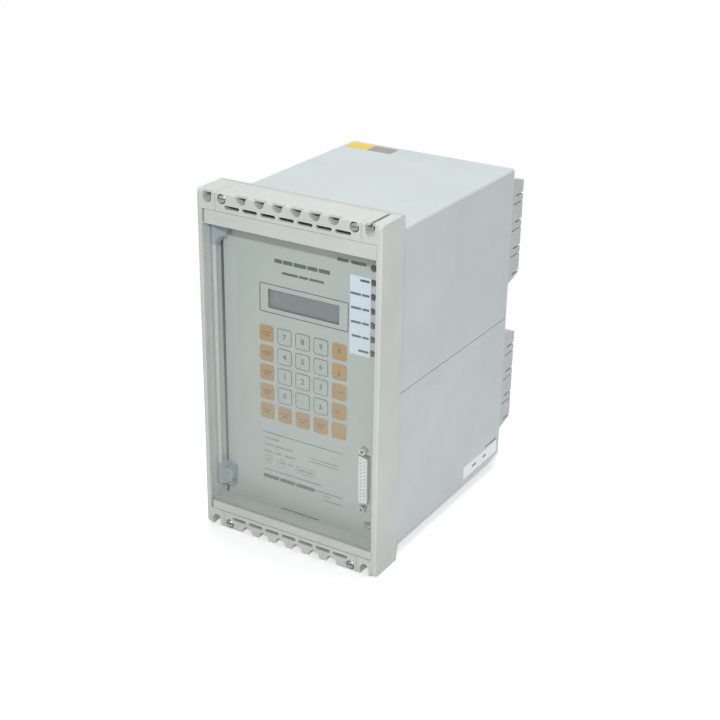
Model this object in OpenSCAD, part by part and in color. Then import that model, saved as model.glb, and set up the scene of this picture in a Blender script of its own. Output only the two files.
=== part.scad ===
// Numerical overcurrent protection relay in a flush-mounting one-third-rack housing.
// Millimetres. X runs to the right and Z up, as seen from the front, and +Y runs to the rear.
// The origin is the centre of the plane where the front frame meets the switchboard panel.

/* [Front frame] */
// Width of the front frame
frame_w = 150; // [142:1:170]
// Height of the front frame
frame_h = 266; // [262:1:290]
// Depth of the front frame in front of the panel
frame_d = 30; // [28:0.5:40]
// Thickness of an upright
upright_t = 4; // [3:0.5:5]
// Rounding of the uprights' front corners, seen from the side
upright_r = 4; // [1:0.5:8]
// Rounding of the long outer front edges
edge_r = 1.5; // [0.5:0.25:2]
// Thickness of the flange behind the ventilation strips
flange_t = 4; // [3:0.5:6]
// Thickness of the horizontal walls inside the strips
lip_t = 3.5; // [2:0.5:4]
// Thickness of the shoulder that the front plate seats against
shoulder_t = 7; // [5:0.5:9]
// Width of the four corner blocks
corner_w = 11.8; // [11.5:0.1:14]
// Depth of the rebate that takes the housing's front edge
rebate_d = 1; // [0.5:0.1:1.5]
// Width of the shoulder beside the module's way in
shoulder_w = 7; // [5:0.5:9]
// Height of the shoulder above and below the module's way in
shoulder_h = 9; // [8:0.5:10]

/* [Panel fixing] */
// Distance of a fixing hole from the frame's side
fixing_in_x = 9.25; // [9:0.25:10]
// Distance of a fixing hole from the frame's top or bottom
fixing_in_z = 5.1; // [4.9:0.1:5.6]
// Diameter of a fixing hole
fixing_d = 5; // [4.2:0.1:5.5]
// Width of the slot that lets the screwdriver in
access_w = 7.4; // [6.5:0.1:7.8]

/* [Ventilation strips] */
// Height of a strip
strip_h = 13.5; // [12.5:0.5:15]
// Depth of a strip's bar
strip_d = 10.5; // [6:0.5:12]
// Thickness of the plate that roofs the top strip
roof_t = 1.5; // [1.5:0.1:2]
// How far the roof's front edge lies behind the strip's front
roof_setback = 2.5; // [2:0.25:8]
// Distance between slots
vent_pitch = 15; // [13:0.5:20]
// Length of a slot
slot_l = 12.6; // [10:0.2:12.6]
// Height of a slot
slot_h = 2.5; // [2:0.25:3]
// Distance of the slots from the strip's inner edge
slot_in = 4; // [3:0.25:4]
// Width of a half-round notch
notch_w = 8.6; // [6:0.2:9.4]
// Depth of a half-round notch
notch_depth = 6.2; // [5:0.1:7.5]
// Rounding of the teeth between the notches
tooth_r = 2.4; // [0.5:0.1:2.4]
// Width of the gap at the right end of the top strip's roof
roof_gap = 2.5; // [1:0.5:4]
// Gap between a strip and its neighbours
joint_gap = 0.3; // [0.1:0.05:0.5]
// Wall in front of the channel behind the slots
strip_wall = 2; // [1.5:0.1:3]

/* [Strip screws] */
// Distance of a screw from the strip's end
strip_screw_in = 5.2; // [4.8:0.1:5.6]
// Distance of a screw from the frame's top or bottom
strip_screw_down = 4.3; // [4.2:0.1:5.6]
// Head diameter
strip_head_d = 6.4; // [5:0.2:6.8]
// Head height
strip_head_h = 2; // [1.5:0.25:2.4]
// Shank diameter
strip_shank_d = 3; // [2.5:0.1:3.5]
// Shank length
strip_shank_l = 14; // [10:1:18]
// Depth of the screw's seat
seat_depth = 2.5; // [2:0.25:4]

/* [Front cover] */
// Height of the upper cover bar
cover_bar_h = 10.3; // [7:0.1:12]
// Height of the lower cover bar
cover_low_h = 6.4; // [6:0.1:10]
// Depth of a cover bar
cover_bar_d = 7.6; // [6:0.2:8.4]
// Wall of the hollow bars
cover_wall = 2; // [1.5:0.1:2.2]
// How far the bars lie behind the frame's front
cover_sunk = 0.4; // [0.2:0.1:1]
// Thickness of the clear pane
pane_t = 2.5; // [2:0.25:3]
// How deep the pane sits in a bar
pane_in = 3; // [2:0.25:4]
// Diameter of a hinge pin
hinge_pin_d = 2.5; // [2:0.25:3]
// Wall round a hinge pin
hinge_wall = 1.25; // [1:0.05:1.5]
// How deep a hinge pin enters the frame
hinge_pin_in = 3; // [2:0.25:3.5]
// Length of the catch at the free end of the lower bar
catch_l = 13.4; // [10:0.2:20]

/* [Housing] */
// Width of the sheet-metal housing
body_w = 145; // [140:1:150]
// Height of the sheet-metal housing
body_h = 244; // [240:1:250]
// Depth of the housing behind the panel
body_d = 172; // [160:1:220]
// Sheet thickness
sheet_t = 1.5; // [1:0.1:2]
// Outer bend radius
bend_r = 2; // [2:0.25:5]
// Gap of the seam between the half shells
seam_gap = 0.6; // [0.3:0.1:1.5]
// Width of the lip that covers the seam from the inside
seam_lip = 6; // [4:0.5:10]
// Length of a fixing tab
tab_l = 16; // [12:1:24]
// Distance of the front fixing tabs from the middle
front_tab_x = 30; // [20:1:45]
// Length of the slit low on the right side
slit_l = 20; // [10:1:24]
// Height of the slit
slit_h = 1.4; // [0.8:0.1:2]

/* [Terminals] */
// Width of a terminal block
term_w = 32; // [28:1:34]
// Height of one terminal section
term_pitch = 21.5; // [20:0.5:22]
// Depth of a block behind the housing
term_d = 19; // [16:0.5:26]
// Diameter of a clamp screw's head
term_screw_d = 6.5; // [5:0.25:7]
// How far a block's ends slope in towards the rear
term_slope = 5; // [2:0.5:6]
// Height of the upper blocks' centre
term_upper_z = 71; // [66:0.5:72]
// Depth of the lower blocks' centre
term_lower_z = 56; // [52:0.5:60]

/* [Front plate] */
// Thickness of the front plate
plate_t = 2; // [1.5:0.25:3]
// Gap between the front plate and the left upright
plate_gap = 2.4; // [1:0.1:3]
// Thickness of the keypad foil
foil_t = 0.6; // [0.4:0.1:1]
// Height of the raised keys
key_rise = 0.4; // [0.2:0.1:0.6]
// Distance between keys
key_pitch = 15.5; // [13:0.25:16]
// Width of a key
key_w = 12.4; // [9:0.2:12.6]
// Height of a key
key_h = 12.6; // [8:0.2:12.6]
// Corner rounding of a key
key_r = 2; // [1:0.25:3]
// Distance of the keypad's centre from the panel field's top
keypad_down = 119.6; // [117:0.1:122]
// Width of the display window
lcd_w = 60; // [50:1:64]
// Height of the display window
lcd_h = 14.6; // [12:0.2:18]
// Distance of the display's centre from the panel field's top
lcd_down = 61.3; // [58:0.1:63]
// Number of status lamps
led_n = 7; // [4:1:8]
// Distance between status lamps
led_pitch = 10.4; // [8:0.2:11]
// Diameter of a status lamp
led_d = 3; // [2:0.5:4]
// Distance of the top lamp from the panel field's top
led_down = 21.2; // [21:0.1:26]
// Distance of the lamps from the plate's right edge
led_in = 13.3; // [12:0.1:14]
// Distance of the interface socket from the panel field's bottom
dsub_up = 48.1; // [44:0.1:52]
// Distance of the interface socket from the plate's right edge
dsub_in = 17.8; // [15:0.1:19]

/* [Release bail] */
// Diameter of the bail's rod
bail_rod_d = 3.5; // [3:0.25:4]
// Distance of the upper lever's middle from the upper cover bar
bail_in = 6.6; // [6.6:0.1:12]
// How far the bail sits above the middle
bail_up = 3.5; // [0:0.25:4.5]
// Height of a lever
lever_h = 12.5; // [10:0.5:13]
// Length of a lever's taper along the rod
lever_taper = 5.5; // [3:0.5:8]
// Chamfer of a lever's free corners
lever_chamfer = 3; // [1:0.5:4]
// Width of a lever's arm
lever_arm_w = 4.4; // [4:0.2:4.8]
// Diameter of a lever's hub
lever_hub_d = 6; // [5:0.25:7]
// Diameter of the pin in the hub
bail_pin_d = 2.5; // [2:0.25:3]
// Thickness of the bracket that carries the pin
bail_bracket_t = 1.5; // [1:0.25:2]

/* [Plug-in module] */
// Thickness of the circuit boards
board_t = 1.6; // [1:0.2:2.4]
// Height of the plug-in boards
board_h = 213; // [200:1:214]
// Length of the spacers behind the front plate
spacer_l = 8; // [7:0.5:12]
// Diameter of the spacers
spacer_d = 6; // [4:0.5:8]
// Height of the guide rails' groove
guide_groove = 3; // [2:0.25:4]
// Width of a guide rail
guide_w = 8; // [6:0.5:12]

/* [Inner parts] */
// Length of an output relay
relay_l = 28; // [20:1:30]
// Width of an output relay
relay_w = 13; // [10:0.5:16]
// Height of an output relay above its board
relay_h = 16; // [12:0.5:20]
// Distance between output relays
relay_pitch = 30; // [20:1:32]
// Width of a current transformer's core
core_w = 38; // [30:1:42]
// Thickness of a current transformer's core
core_t = 20; // [16:1:24]
// Height of a current transformer above its board
core_h = 30; // [24:1:32]
// Distance between current transformers
core_pitch = 46; // [43:1:50]
// Width of the supply transformer
supply_w = 48; // [36:1:56]
// Height of the supply transformer above its board
supply_h = 34; // [24:1:36]
// Diameter of a supply capacitor
capacitor_d = 18; // [12:1:22]
// Height of a supply capacitor above its board
capacitor_h = 32; // [20:1:36]
// Width of the heat sink
sink_w = 24; // [16:1:26]
// Height of the heat sink's fins above the board
fin_h = 24; // [12:1:30]
// Side of the largest chip
chip_w = 28; // [20:1:32]
// Height of the chips above their board
chip_h = 3; // [1:0.5:5]
// Diameter of the backup battery
battery_d = 24; // [16:1:24]
// Width of the rear connectors
plug_w = 18; // [14:1:20]
// Length of the header behind the operator board
header_l = 60; // [40:1:80]

/* [Hidden] */
$fn = 48;

// Clearances
slide = 0.4;    // between pieces that move past each other
fit = 0.1;      // between pieces that are pushed together
pin_play = 0.08; // round a pin that turns
snug = 0.02;    // round a pin that is held fast
cut = 1;        // how far a cutting shape runs past a face

// Colours of the finishes
frame_grey = [0.80, 0.81, 0.79];
shell_grey = [0.78, 0.81, 0.82];
panel_grey = [0.68, 0.72, 0.70];
lever_blue = [0.53, 0.58, 0.61];
bright_steel = [0.72, 0.73, 0.74];
board_green = [0.13, 0.36, 0.22];
part_black = [0.12, 0.12, 0.13];

// Front frame
half_w = frame_w / 2;
half_h = frame_h / 2;
inner_x = half_w - upright_t;
strip_in_z = half_h - strip_h;
lip_in_z = strip_in_z - lip_t;
corner_x = inner_x - corner_w;
fixing_x = half_w - fixing_in_x;
fixing_z = half_h - fixing_in_z;
front_y = -frame_d;
bar_back_y = front_y + strip_d;

// Ventilation strips
strip_x = corner_x - joint_gap;
strip_screw_x = strip_x - strip_screw_in;
strip_screw_z = half_h - strip_screw_down;
slot_z = strip_in_z + slot_in;
slot_reach = strip_screw_x - 2.2;
channel_x = slot_reach - 2;
channel_z = [strip_in_z + (slot_in - slot_h / 2) / 2, (slot_z + slot_h / 2 + half_h - notch_depth) / 2];
roof_front_y = front_y + roof_setback;
vent_n = floor((2 * slot_reach - slot_l) / vent_pitch) + 1;
roof_right_x = fixing_x - roof_gap / 2;
boss_d = strip_shank_d + 3;
seat_d = strip_head_d + 1;

// Front cover
cover_right_x = inner_x - slide;
cover_front_y = front_y + cover_sunk;
cover_back_y = cover_front_y + cover_bar_d;
hinge_r = hinge_pin_d / 2 + hinge_wall;
hinge_x = -(cover_right_x - hinge_r);
hinge_y = cover_front_y + hinge_r;
swing_r = norm([hinge_r, cover_back_y - hinge_y]);
cover_out_z = strip_in_z - slide;
cover_in_z = cover_out_z - cover_bar_h;
low_in_z = cover_out_z - cover_low_h;
lip_front_y = hinge_y + swing_r + slide;
pane_front_y = cover_front_y + cover_wall - 0.5;
pane_y = [pane_front_y, pane_front_y + pane_t];
hollow_y = pane_y[1] + fit + 1;
catch_x = cover_right_x - catch_l;
catch_tongue = 9;

// Housing
shell_x = body_w / 2 - sheet_t;
shell_z = body_h / 2 - sheet_t;
back_in_y = body_d - sheet_t;
tab_room = 4.5;
seat_z = min(lip_in_z, shell_z - tab_room);
open_x = inner_x - shoulder_w;
open_z = seat_z - shoulder_h;
shell_screw_d = 3;
shell_screw_z = seat_z - shoulder_h / 2;
shell_screw_grip = shoulder_t - rebate_d - 1;
rear_tab_in = 10;
rear_head_d = 5.5;
rear_grip = 4;
earth_hole_d = 4.2;
earth_washer_d = 10;
earth_washer_t = 1;

// Terminals
term_n = 4;
term_h = term_n * term_pitch;
term_x = body_w / 2 - 0.5 - term_w / 2;
neck_w = term_w - 8;
neck_h = term_h - 8;
neck_in = 6;
clamp_x = term_w / 4;
pocket_d = term_screw_d + 1;
pocket_depth = 7;
clamp_t = 1.5;
wire_room = term_w / 2 - clamp_x - pocket_d / 2;
wire_w = wire_room - 1.6;
wire_h = 5;
wire_depth = 12;

// Front plate
plate_front_y = -shoulder_t - plate_t;
foil_front_y = plate_front_y - foil_t;
plate_x = inner_x - 0.6;
plate_left_x = plate_gap - inner_x;
plate_z = lip_in_z - slide;
field_z = seat_z - slide;
foil_in = 13.4;
foil_left_x = -plate_x + foil_in;
foil_right_x = plate_x - 1.5;
foil_z = plate_z - 2.5;
led_x = plate_x - led_in;
led_z = field_z - led_down - (led_n - 1) / 2 * led_pitch;
led_hole_d = led_d + 0.4;
label_w = 16.6;
label_h = 58.3;
label_x = led_x - 10.1;
label_down = 58;
label_z = field_z - label_down;
key_n = 5;
keypad_left = 47.3;
keypad_x = label_x - keypad_left;
keypad_z = field_z - keypad_down;
lcd_left = 46.9;
lcd_x = label_x - lcd_left;
lcd_z = field_z - lcd_down;
lcd_rim = 4;
lcd_sheet_t = 1;
port_w = 5.3;
port_h = 5.9;
port_in = 14.9;
port_x = plate_x - port_in;
port_up = 10.6;
port_z = port_up - field_z;

// Interface socket, a 25-way D connector standing upright
dsub_x = plate_x - dsub_in;
dsub_z = dsub_up - field_z;
dsub_l = 38.9;
dsub_w = 8.3;
dsub_taper = 10;
dsub_flange_w = 12.5;
dsub_flange_l = 53;
dsub_flange_t = 1.2;
dsub_screw_gap = 47.04;
dsub_rise = 3.4;
dsub_pin_pitch = 2.77;
dsub_row_gap = 2.84;
dsub_hole_d = 1.3;
jack_d = 5.6;
jack_l = 5;
jack_bore_d = 2.6;

// Release bail
bail_z = cover_in_z - bail_in - bail_up;
bail_reach_x = 6.9;
bail_reach_y = 6.2;
lever_z = [bail_z - lever_h / 2, bail_z + lever_h / 2];
bail_pin_x = -plate_x + bail_reach_x;
bail_pin_y = plate_front_y - bail_bracket_t - 0.3 - lever_hub_d / 2;
bail_rod_x = -(inner_x - slide - lever_arm_w / 2);
bail_rod_y = bail_pin_y - bail_reach_y;
ear_t = 2;
ear_z = [lever_z[1] + 0.3, lever_z[1] + 0.3 + ear_t];

// Plug-in module
operator_y = -shoulder_t + spacer_l;
operator_x = open_x - 4;
operator_z = open_z - 10;
spacer_x = operator_x - 20;
spacer_z = operator_z - 6;
bracket_z = [open_z - 8, open_z - 1.5];
bracket_t = 1.2;
bracket_foot = 7;
bracket_reach = 14;
nut_d = 6;
nut_h = 2.2;
board_front_y = operator_y + board_t + 3.4;
rear_room = 26;
board_back_y = body_d - rear_room;
board_l = board_back_y - board_front_y;
board_x = term_x;
board_slot = board_t / 2 + fit;
guide_in = 20;
guide_front_y = guide_in;
socket_y = back_in_y - neck_in;
plug_y = board_back_y - 6;
mate_y = board_back_y + 6;
contact_x = plug_w / 2 - 5;
contact_d = 2;
contact_l = 4;
header_w = 10;
header_depth = 8;

// Rows of parts on the boards
relay_row_y = board_front_y + 0.26 * board_l;
chip_row_y = board_front_y + 0.39 * board_l;
core_row_y = board_front_y + 0.64 * board_l;
battery_row_y = board_front_y + 0.71 * board_l;
sink_row_y = board_front_y + 0.81 * board_l;
battery_z = -(board_h / 2 - guide_groove - battery_d / 2 - 1.5);

// Basic shapes
module block(x, y, z)
    translate([x[0], y[0], z[0]])
        cube([x[1] - x[0], y[1] - y[0], z[1] - z[0]]);

module along_x(x) translate([x[0], 0, 0]) rotate([90, 0, 90]) linear_extrude(x[1] - x[0]) children();

module along_y(y) translate([0, y[1], 0]) rotate([90, 0, 0]) linear_extrude(y[1] - y[0]) children();

module along_z(z) translate([0, 0, z[0]]) linear_extrude(z[1] - z[0]) children();

module rod_x(d, x) translate([x[0], 0, 0]) rotate([0, 90, 0]) cylinder(d = d, h = x[1] - x[0]);

module rod_y(d, y) translate([0, y[0], 0]) rotate([-90, 0, 0]) cylinder(d = d, h = y[1] - y[0]);

module rod_z(d, z) translate([0, 0, z[0]]) cylinder(d = d, h = z[1] - z[0]);

module both_x() {
    children();
    mirror([1, 0, 0]) children();
}

module both_z() {
    children();
    mirror([0, 0, 1]) children();
}

module round_rect(w, h, r) {
    square([w - 2 * r, h], center = true);
    square([w, h - 2 * r], center = true);
    for (x = [-1, 1], z = [-1, 1])
        translate([x * (w / 2 - r), z * (h / 2 - r)]) circle(r);
}

// A screw along Y: the head lies before y = 0, the shank behind it
module slotted_screw(head_d, head_h, shank_d, shank_l) {
    slot_w = head_d / 6;
    crown = head_h * 0.3;
    difference() {
        union() {
            rod_y(head_d, [crown - head_h, 0]);
            translate([0, -head_h, 0])
                rotate([-90, 0, 0]) cylinder(d1 = head_d - 2 * crown, d2 = head_d, h = crown);
        }
        block([-head_d, head_d], [-head_h - cut, -head_h * 0.45], [-slot_w / 2, slot_w / 2]);
    }
    rod_y(shank_d, [-0.01, shank_l]);
}

// Front frame: uprights, rails with the flange, the shoulder round the module's way in, and corner blocks
module upright_side() {
    translate([front_y + upright_r, -half_h]) square([frame_d - upright_r, frame_h]);
    translate([front_y, -half_h + upright_r]) square([upright_r + 0.01, frame_h - 2 * upright_r]);
    for (z = [-1, 1])
        translate([front_y + upright_r, z * (half_h - upright_r)]) circle(upright_r);
}

module upright_plan() {
    translate([inner_x, front_y + edge_r]) square([upright_t, frame_d - edge_r]);
    translate([inner_x, front_y]) square([upright_t - edge_r, edge_r + 0.01]);
    translate([half_w - edge_r, front_y + edge_r]) circle(edge_r);
}

module upright()
    intersection() {
        along_x([inner_x - cut, half_w + cut]) upright_side();
        along_z([-half_h, half_h]) upright_plan();
    }

module strip_section(depth)
    difference() {
        translate([front_y, strip_in_z]) square([depth, strip_h]);
        translate([front_y, half_h - edge_r])
            difference() {
                translate([-cut, 0]) square([edge_r + cut, edge_r + cut]);
                translate([edge_r, 0]) circle(edge_r);
            }
    }

module access_slot()
    along_y([front_y - cut, bar_back_y + cut]) {
        translate([fixing_x, fixing_z]) circle(d = access_w);
        translate([fixing_x - access_w / 2, fixing_z]) square([access_w, fixing_in_z + cut]);
    }

// The housing's front edge goes into this rebate, so that the frame lies flat on the panel
module rebate()
    along_y([-rebate_d, cut]) round_rect(body_w + 2 * fit, body_h + 2 * fit, bend_r + fit);

module frame_uprights() color(frame_grey)
    difference() {
        both_x() upright();
        rebate();
    }

module rail() {
    block([-inner_x, inner_x], [-flange_t, 0], [lip_in_z, half_h]);
    block([-inner_x, inner_x], [lip_front_y, 0], [lip_in_z, strip_in_z]);
    both_x()
        translate([strip_screw_x, 0, strip_screw_z])
            difference() {
                rod_y(boss_d, [bar_back_y, -flange_t + 0.5]);
                block([-boss_d, boss_d], [bar_back_y - cut, -flange_t],
                    [strip_screw_down - roof_t - fit, boss_d]);
            }
}

module frame_rails() color(frame_grey)
    difference() {
        both_z() rail();
        rebate();
        both_x() both_z() {
            translate([fixing_x, 0, fixing_z]) rod_y(fixing_d, [-flange_t - cut, cut]);
            translate([strip_screw_x, 0, strip_screw_z])
                rod_y(strip_shank_d + 0.1, [bar_back_y - cut, bar_back_y + strip_shank_l]);
        }
    }

module at_shell_screws() both_x() both_z() translate([front_tab_x, 0, shell_screw_z]) children();

module frame_shoulder() color(frame_grey)
    difference() {
        along_y([-shoulder_t, -rebate_d])
            difference() {
                square([2 * inner_x, 2 * lip_in_z], center = true);
                square([2 * open_x, 2 * open_z], center = true);
                translate([-inner_x - cut, -open_z]) square([plate_gap + cut, 2 * open_z]);
            }
        at_shell_screws() rod_y(shell_screw_d + 0.1, [-rebate_d - shell_screw_grip - 0.2, cut]);
    }

module corner_block()
    difference() {
        along_x([corner_x, inner_x]) strip_section(strip_d);
        access_slot();
    }

module corner_roof(x, back_y)
    block(x, [front_y + edge_r, back_y], [half_h - roof_t, half_h]);

module corner_blocks() color(frame_grey)
    difference() {
        union() {
            both_x() both_z() corner_block();
            corner_roof([-inner_x, -corner_x], -flange_t);
            corner_roof([fixing_x + roof_gap / 2, inner_x], -flange_t);
            corner_roof([corner_x, roof_right_x], bar_back_y);
        }
        both_z()
            translate([hinge_x, hinge_y, 0])
                rod_z(hinge_pin_d + 2 * pin_play, [strip_in_z - cut, strip_in_z + hinge_pin_in + fit]);
    }

// Ventilation strips: a bar with slots, open half-round notches and rounded teeth
module vent_slot() {
    square([slot_l - slot_h, slot_h], center = true);
    for (x = [-1, 1]) translate([x * (slot_l - slot_h) / 2, 0]) circle(d = slot_h);
}

module tooth_rounding()
    difference() {
        translate([-0.01, -tooth_r]) square([tooth_r, tooth_r + cut]);
        translate([tooth_r, -tooth_r]) circle(tooth_r);
    }

module vent_notch() {
    translate([0, notch_w / 2 - notch_depth]) circle(d = notch_w);
    translate([-notch_w / 2, notch_w / 2 - notch_depth]) square([notch_w, notch_depth]);
    translate([notch_w / 2, 0]) tooth_rounding();
    mirror([1, 0]) translate([notch_w / 2, 0]) tooth_rounding();
}

module vent_cuts()
    along_y([front_y - cut, bar_back_y + cut]) {
        for (i = [0 : vent_n - 1])
            translate([(i - (vent_n - 1) / 2) * vent_pitch, slot_z]) vent_slot();
        for (i = [1 : vent_n - 1])
            translate([(i - vent_n / 2) * vent_pitch, half_h]) vent_notch();
    }

// Behind the slots the bar is hollowed out along its length
module slot_channel()
    block([-channel_x, channel_x], [front_y + strip_wall, bar_back_y + cut], channel_z);

module strip_bar()
    difference() {
        along_x([-strip_x, strip_x]) strip_section(strip_d - 0.01);
        vent_cuts();
        slot_channel();
    }

module strip_seats()
    both_x()
        translate([strip_screw_x, 0, strip_screw_z]) {
            rod_y(seat_d, [front_y - cut, front_y + seat_depth]);
            rod_y(strip_shank_d + 0.4, [front_y, bar_back_y + cut]);
        }

module top_strip() color(frame_grey)
    difference() {
        union() {
            roof_z = [half_h - roof_t, half_h];
            roof_back_y = -flange_t - joint_gap;
            strip_bar();
            block([-strip_x, strip_x], [roof_front_y, roof_back_y], roof_z);
            block([strip_x - cut, roof_right_x], [bar_back_y + fit, roof_back_y], roof_z);
        }
        strip_seats();
    }

module bottom_strip() color(frame_grey)
    mirror([0, 0, 1])
        difference() {
            strip_bar();
            strip_seats();
        }

module strip_screws() color(bright_steel)
    both_x() both_z()
        translate([strip_screw_x, front_y + seat_depth, strip_screw_z])
            slotted_screw(strip_head_d, strip_head_h, strip_shank_d, strip_shank_l);

// Front cover: two hollow bars with a round hinge end, the clear pane between them and the catch
module bar_plan(x_end) {
    translate([hinge_x, hinge_y]) circle(hinge_r);
    translate([hinge_x, cover_front_y]) square([x_end - hinge_x, cover_bar_d]);
    translate([hinge_x - hinge_r, hinge_y]) square([hinge_r + cut, cover_back_y - hinge_y]);
}

module pane_groove(in_z)
    block([hinge_x - hinge_r - cut, cover_right_x + cut], [pane_y[0] - fit, pane_y[1] + fit],
        [in_z - cut, in_z + pane_in + fit]);

module bar_hollow(in_z, x_end)
    block([hinge_x + 8, x_end], [hollow_y, cover_back_y + cut],
        [in_z + cover_wall, cover_out_z - cover_wall]);

module cover_bar(in_z, x_end, hollow_end)
    difference() {
        along_z([in_z, cover_out_z]) bar_plan(x_end);
        pane_groove(in_z);
        bar_hollow(in_z, hollow_end);
        translate([hinge_x, hinge_y, 0])
            rod_z(hinge_pin_d + 2 * snug, [in_z + pane_in + 0.5, cover_out_z + cut]);
    }

module cover_top_bar() color(frame_grey)
    cover_bar(cover_in_z, cover_right_x, cover_right_x - cover_wall);

module cover_bottom_bar() color(frame_grey)
    mirror([0, 0, 1]) cover_bar(low_in_z, catch_x - fit, catch_x);

module cover_pane() color([0.85, 0.90, 0.90, 0.35])
    block([hinge_x - hinge_r + fit, cover_right_x - 0.3], pane_y,
        [-low_in_z - pane_in, cover_in_z + pane_in]);

module cover_catch() color(frame_grey)
    mirror([0, 0, 1])
        difference() {
            union() {
                block([catch_x, cover_right_x], [cover_front_y, cover_back_y], [low_in_z, cover_out_z]);
                block([catch_x - catch_tongue, catch_x + cut], [hollow_y + fit, cover_back_y - 0.5],
                    [low_in_z + cover_wall + fit, cover_out_z - cover_wall - fit]);
            }
            pane_groove(low_in_z);
        }

module cover_pin(in_z)
    translate([hinge_x, hinge_y, 0])
        rod_z(hinge_pin_d, [in_z + pane_in + 0.5, strip_in_z + hinge_pin_in]);

module cover_pins() color(bright_steel) {
    cover_pin(cover_in_z);
    mirror([0, 0, 1]) cover_pin(low_in_z);
}

// Housing: two U-shaped half shells, joined at mid height, with folded fixing tabs
module shell_section()
    difference() {
        round_rect(body_w, body_h, bend_r);
        round_rect(2 * shell_x, 2 * shell_z, bend_r - sheet_t + 0.3);
    }

module shell_tab(x, y, z, hole_x)
    difference() {
        block(x, y, [z - tab_l / 2, z + tab_l / 2]);
        translate([hole_x, 0, z]) rod_y(3.2, [y[0] - cut, y[1] + cut]);
    }

rear_tab_y = [back_in_y - sheet_t, back_in_y];
side_hole_x = shell_x - rear_tab_in / 2;
upper_tab_z = (term_upper_z - term_lower_z) / 2;
lower_tab_z = -shell_z + tab_l / 2 + 2;

module front_tab()
    difference() {
        block([front_tab_x - tab_l / 2, front_tab_x + tab_l / 2], [-rebate_d, sheet_t - rebate_d],
            [open_z + fit, shell_z + 0.5]);
        translate([front_tab_x, 0, shell_screw_z])
            rod_y(shell_screw_d + 0.2, [-rebate_d - cut, sheet_t - rebate_d + cut]);
    }

module half_shell(rear_z) {
    along_y([-rebate_d, body_d])
        intersection() {
            shell_section();
            translate([-body_w, seam_gap / 2]) square([2 * body_w, body_h]);
        }
    both_x() {
        front_tab();
        shell_tab([shell_x - rear_tab_in, shell_x + 0.5], rear_tab_y, rear_z, side_hole_x);
    }
    difference() {
        block([-tab_l / 2, tab_l / 2], rear_tab_y, [shell_z - rear_tab_in, shell_z + 0.5]);
        translate([0, 0, shell_z - rear_tab_in / 2]) rod_y(3.2, [rear_tab_y[0] - cut, rear_tab_y[1] + cut]);
    }
}

module upper_shell() color(shell_grey) half_shell(upper_tab_z);

module seam_cover() {
    y = [sheet_t + 2, rear_tab_y[0] - 2];
    block([shell_x - sheet_t, shell_x + 0.5], y, [-seam_lip, -seam_gap / 2]);
    block([shell_x - sheet_t, shell_x - fit], y, [-seam_lip, upper_tab_z - tab_l / 2 - 1]);
}

slit_in = 5;
slit_z = 16.5 - body_h / 2;

module side_slit()
    block([shell_x - cut, shell_x + sheet_t + cut], [body_d - slit_in - slit_l, body_d - slit_in],
        [slit_z, slit_z + slit_h]);

module lower_shell() color(shell_grey)
    difference() {
        union() {
            mirror([0, 0, 1]) half_shell(-lower_tab_z);
            both_x() seam_cover();
        }
        side_slit();
    }

module shell_screws() color(bright_steel)
    at_shell_screws()
        translate([0, sheet_t - rebate_d, 0])
            mirror([0, 1, 0]) slotted_screw(5, 1.8, shell_screw_d, sheet_t + shell_screw_grip);

// Back plate with the ways through for the terminal blocks
module at_blocks() {
    both_x() {
        translate([term_x, 0, term_upper_z]) children();
        translate([term_x, 0, -term_lower_z]) children();
    }
}

module at_rear_tabs() {
    both_x() {
        translate([side_hole_x, 0, upper_tab_z]) children();
        translate([side_hole_x, 0, lower_tab_z]) children();
    }
    both_z() translate([0, 0, shell_z - rear_tab_in / 2]) children();
}

earth_x = 20;
earth_up = 25;
earth_z = earth_up - shell_z;

module back_plate() color(shell_grey)
    difference() {
        along_y([back_in_y, body_d])
            difference() {
                square([2 * (shell_x - fit), 2 * (shell_z - fit)], center = true);
                for (x = [-term_x, term_x], z = [term_upper_z, -term_lower_z])
                    translate([x, z]) square([neck_w + 2 * fit, neck_h + 2 * fit], center = true);
                translate([earth_x, earth_z]) circle(d = earth_hole_d);
            }
        at_rear_tabs() rod_y(3.2, [back_in_y - cut, body_d + cut]);
    }

module back_plate_screws() color(bright_steel)
    at_rear_tabs()
        translate([0, body_d, 0]) mirror([0, 1, 0]) slotted_screw(rear_head_d, 2, 3, 2 * sheet_t + rear_grip);

module earth_washer() color(bright_steel)
    translate([earth_x, 0, earth_z])
        difference() {
            rod_y(earth_washer_d, [body_d, body_d + earth_washer_t]);
            rod_y(earth_hole_d, [body_d - cut, body_d + earth_washer_t + cut]);
        }

module earth_screw() color([0.78, 0.68, 0.40])
    translate([earth_x, body_d + earth_washer_t, earth_z]) mirror([0, 1, 0]) slotted_screw(8, 2.6, 4, 10);

// Terminal blocks: clamp screws in round wells, wire ways beside them, slots and grooves at the sides
term_back_y = body_d + term_d;
section_z = [for (i = [0 : term_n - 1]) (i - (term_n - 1) / 2) * term_pitch];
groove_z = [for (i = [1 : term_n - 1]) (i - term_n / 2) * term_pitch];

module block_side()
    polygon([[body_d, -term_h / 2], [term_back_y, term_slope - term_h / 2],
        [term_back_y, term_h / 2 - term_slope], [body_d, term_h / 2]]);

module side_cut(depth, from_y, z, h)
    both_x()
        block([term_w / 2 - depth, term_w / 2 + cut], [from_y, term_back_y + cut], [z - h / 2, z + h / 2]);

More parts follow.
